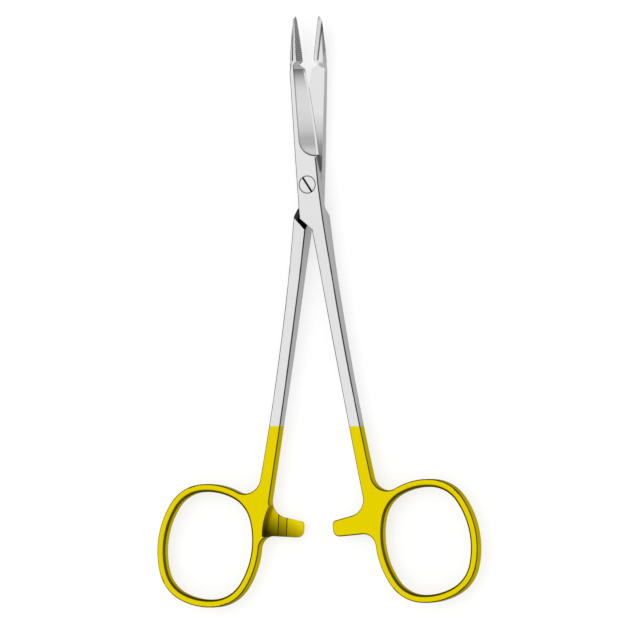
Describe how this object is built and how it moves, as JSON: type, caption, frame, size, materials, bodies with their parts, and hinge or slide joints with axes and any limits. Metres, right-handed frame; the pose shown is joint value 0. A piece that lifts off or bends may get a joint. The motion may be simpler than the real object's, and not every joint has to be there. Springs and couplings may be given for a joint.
{
  "type": "surgical needle holder",
  "caption": "Needle holder with suture scissors behind its gripping jaws, on a screw joint, with a ratchet between gold-plated finger rings.",
  "frame": {"origin": "pivot axis at the joint's back face", "axes": "+Y from the finger rings to the jaw tips, +Z out of the front face with the screw's head, +X to the right in the picture"},
  "size_m": [0.0942, 0.1623, 0.006],
  "materials": {
    "front_arm_steel": "satin steel, gold plated on the lower shank, ratchet bar and finger ring",
    "back_arm_steel": "satin steel, gold plated on the lower shank, ratchet bar and finger ring",
    "front_insert_carbide": "dark sintered carbide with a fine cross-hatched grip",
    "back_insert_carbide": "dark sintered carbide with a fine cross-hatched grip",
    "screw_steel": "satin steel with a slotted flush head"
  },
  "bodies": {
    "back": {"back_arm": "back_arm_steel", "back_jaw_insert": "back_insert_carbide", "pivot_screw": "screw_steel"},
    "front": {"front_arm": "front_arm_steel", "front_jaw_insert": "front_insert_carbide"}
  },
  "joints": [
    {"name": "pivot", "type": "hinge", "parent": "back", "child": "front", "pos_m": [0, 0, 0], "axis": [0, 0, 1], "range_deg": [-8.4, 118]}
  ]
}
